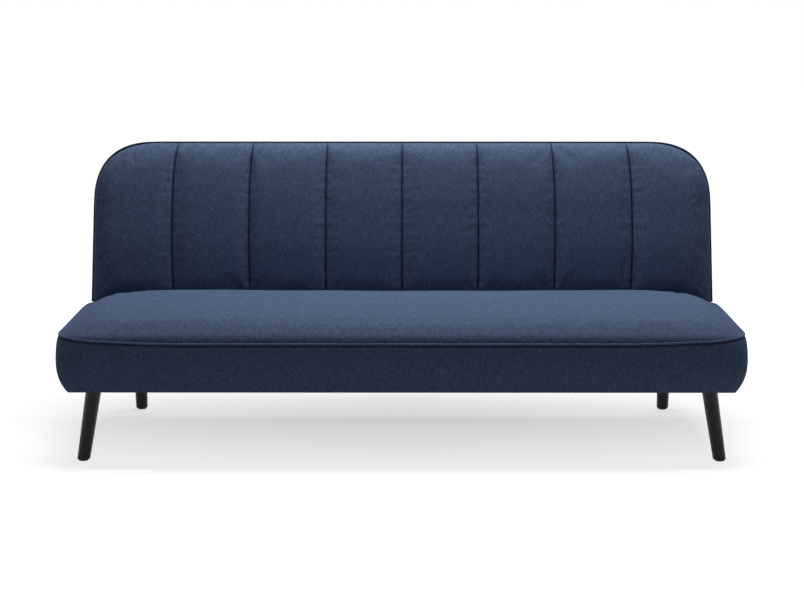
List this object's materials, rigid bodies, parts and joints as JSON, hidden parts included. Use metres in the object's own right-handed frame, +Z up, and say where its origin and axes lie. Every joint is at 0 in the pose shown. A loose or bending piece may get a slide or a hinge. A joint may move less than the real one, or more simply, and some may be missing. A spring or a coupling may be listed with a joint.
{
  "type": "futon sofa bed",
  "caption": "Armless click-clack sofa bed: crowned seat on tapered legs, with a channelled backrest that folds down flat on ratchet hinges.",
  "frame": {"origin": "on the floor, under the middle of the sofa's box with the backrest raised", "axes": "+X to the right of someone facing the front, the sofa's length; +Y towards the back; +Z up"},
  "size_m": [1.866, 0.8452, 0.8148],
  "materials": {
    "upholstery": "matte",
    "lining_cloth": "matte",
    "piping": "matte",
    "black_cloth": "matte",
    "foam": "matte",
    "timber": "matte",
    "black_lacquer": "satin",
    "coated_steel": "satin",
    "zinc_steel": "satin",
    "spring_steel": "satin",
    "black_plastic": "matte"
  },
  "bodies": {
    "seat": {"seat_foam": "foam", "seat_top_cover": "upholstery", "seat_band": "upholstery", "seat_piping": "piping", "seat_front_rail": "timber", "seat_rear_rail": "timber", "seat_end_rail_left": "timber", "seat_end_rail_right": "timber", "seat_cross_rail_left": "timber", "seat_cross_rail_right": "timber", "corner_block_left": "timber", "corner_block_right": "timber", "seat_spring_1": "spring_steel", "seat_spring_2": "spring_steel", "seat_spring_3": "spring_steel", "seat_spring_4": "spring_steel", "seat_spring_5": "spring_steel", "seat_dust_cover": "black_cloth", "front_leg_left": "black_lacquer", "front_leg_right": "black_lacquer", "rear_leg_left": "black_lacquer", "rear_leg_right": "black_lacquer", "front_leg_plate_left": "coated_steel", "front_leg_plate_right": "coated_steel", "rear_leg_plate_left": "coated_steel", "rear_leg_plate_right": "coated_steel", "front_glide_left": "black_plastic", "front_glide_right": "black_plastic", "rear_glide_left": "black_plastic", "rear_glide_right": "black_plastic", "base_rail_left": "coated_steel", "base_rail_right": "coated_steel", "rear_cross_tube": "coated_steel", "hinge_seat_arm_left": "zinc_steel", "hinge_seat_arm_right": "zinc_steel", "pivot_bolt_left": "zinc_steel", "pivot_bolt_right": "zinc_steel", "pawl_pin_left": "zinc_steel", "pawl_pin_right": "zinc_steel", "pawl_spring_left": "spring_steel", "pawl_spring_right": "spring_steel"},
    "back": {"back_front_cover": "upholstery", "back_foam": "foam", "back_band": "upholstery", "back_piping": "piping", "back_rear_cover": "lining_cloth", "back_bottom_rail": "timber", "back_top_rail": "timber", "back_upright_centre": "timber", "back_end_rail_left": "timber", "back_end_rail_right": "timber", "back_upright_left": "timber", "back_upright_right": "timber", "back_corner_left": "timber", "back_corner_right": "timber", "back_webbing": "black_cloth", "hinge_back_arm_left": "zinc_steel", "hinge_back_arm_right": "zinc_steel"},
    "pawl_left": {"pawl_left": "zinc_steel"},
    "pawl_right": {"pawl_right": "zinc_steel"}
  },
  "joints": [
    {"name": "back_recline", "type": "hinge", "parent": "seat", "child": "back", "pos_m": [0, 0.19043, 0.345], "axis": [-1, 0, 0], "range_deg": [-8, 74]},
    {"name": "pawl_left_lift", "type": "hinge", "parent": "seat", "child": "pawl_left", "pos_m": [-0.795, 0.15059, 0.31157], "axis": [-1, 0, 0], "range_deg": [0, 8], "stiffness_Nm_per_rad": 0.05, "springref_deg": -17.19},
    {"name": "pawl_right_lift", "type": "hinge", "parent": "seat", "child": "pawl_right", "pos_m": [0.795, 0.15059, 0.31157], "axis": [-1, 0, 0], "range_deg": [0, 8], "stiffness_Nm_per_rad": 0.05, "springref_deg": -17.19}
  ]
}
